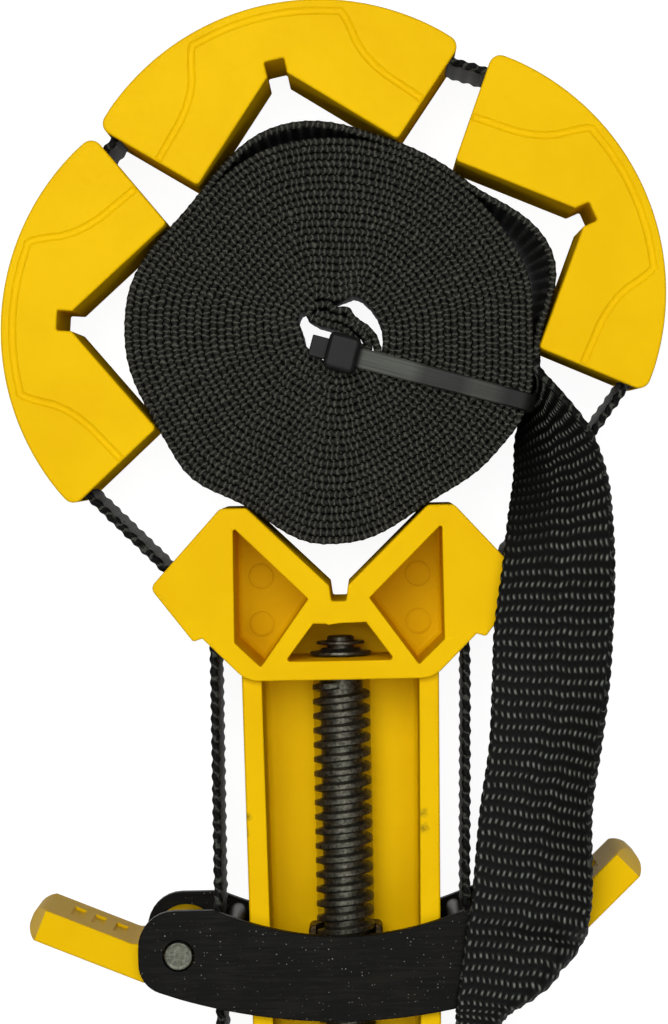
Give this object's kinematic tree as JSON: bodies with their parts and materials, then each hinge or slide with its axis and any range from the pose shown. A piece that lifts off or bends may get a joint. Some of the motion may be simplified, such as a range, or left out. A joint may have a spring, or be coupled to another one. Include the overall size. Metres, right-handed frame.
{
  "type": "band clamp",
  "caption": "Band clamp: V jaws and a V head on a webbing loop, tightened by a screw-driven crossbar with cam levers, spare webbing rolled up and tied.",
  "frame": {"origin": "on the head's flat back face, above the middle of its lower edge", "axes": "+Y from the handle towards the top jaw, +Z out of the back face towards the viewer, +X to the right"},
  "size_m": [0.1357, 0.3808, 0.0465],
  "materials": {
    "yellow_plastic": "moulded yellow, satin",
    "black_steel": "blackened steel, fine grain",
    "bare_steel": "plain steel",
    "webbing": "woven black webbing",
    "black_plastic": "black nylon, slight gloss"
  },
  "bodies": {
    "frame": {"frame_body": "yellow_plastic", "thrust_washer": "black_steel", "band_loop": "webbing", "band_roll": "webbing", "cable_tie": "black_plastic"},
    "screw": {"spindle": "black_steel", "retaining_clip": "black_steel", "handle_grip": "black_plastic", "handle_pin": "bare_steel", "collar_washer": "bare_steel"},
    "crossbar": {"spindle_nut": "black_steel", "front_plate": "black_steel", "back_plate": "black_steel", "left_lever_rivet": "bare_steel", "right_lever_rivet": "bare_steel", "left_anvil_pin": "bare_steel", "right_anvil_pin": "bare_steel", "band_left_leg": "webbing", "band_right_leg": "webbing", "band_strap": "webbing"},
    "left_lever": {"left_cam_lever": "yellow_plastic"},
    "right_lever": {"right_cam_lever": "yellow_plastic"},
    "left_jaw": {"left_jaw": "yellow_plastic"},
    "top_jaw": {"top_jaw": "yellow_plastic"},
    "right_jaw": {"right_jaw": "yellow_plastic"}
  },
  "joints": [
    {"name": "screw_turn", "type": "hinge", "parent": "frame", "child": "screw", "pos_m": [0, -0.012, 0.0155], "axis": [0, 1, 0], "range_deg": [-5040, 5580]},
    {"name": "crossbar_slide", "type": "slide", "parent": "frame", "child": "crossbar", "axis": [0, 1, 0], "range_m": [-0.04652, 0.04202], "deforming": ["band_left_leg", "band_right_leg", "band_strap"]},
    {"name": "left_lever_turn", "type": "hinge", "parent": "crossbar", "child": "left_lever", "pos_m": [-0.034, -0.0675, 0.0155], "axis": [0, 0, -1], "range_deg": [-76, 38]},
    {"name": "right_lever_turn", "type": "hinge", "parent": "crossbar", "child": "right_lever", "pos_m": [0.034, -0.0675, 0.0155], "axis": [0, 0, 1], "range_deg": [-98, 16]},
    {"name": "left_jaw_shift", "type": "hinge", "parent": "frame", "child": "left_jaw", "pos_m": [-0.01613, 0.05944, 0.0155], "axis": [0, 0, 1], "range_deg": [0, 2]},
    {"name": "top_jaw_shift", "type": "hinge", "parent": "frame", "child": "top_jaw", "pos_m": [-0.00274, 0.075, 0.0155], "axis": [0, 0, 1], "range_deg": [-1.5, 0]},
    {"name": "right_jaw_shift", "type": "hinge", "parent": "frame", "child": "right_jaw", "pos_m": [0.01618, 0.06668, 0.0155], "axis": [0, 0, 1], "range_deg": [-1, 1.5]}
  ],
  "couplings": [
    {"joint": "crossbar_slide", "follows": "screw_turn", "m_per_rad": -0.00047746}
  ]
}
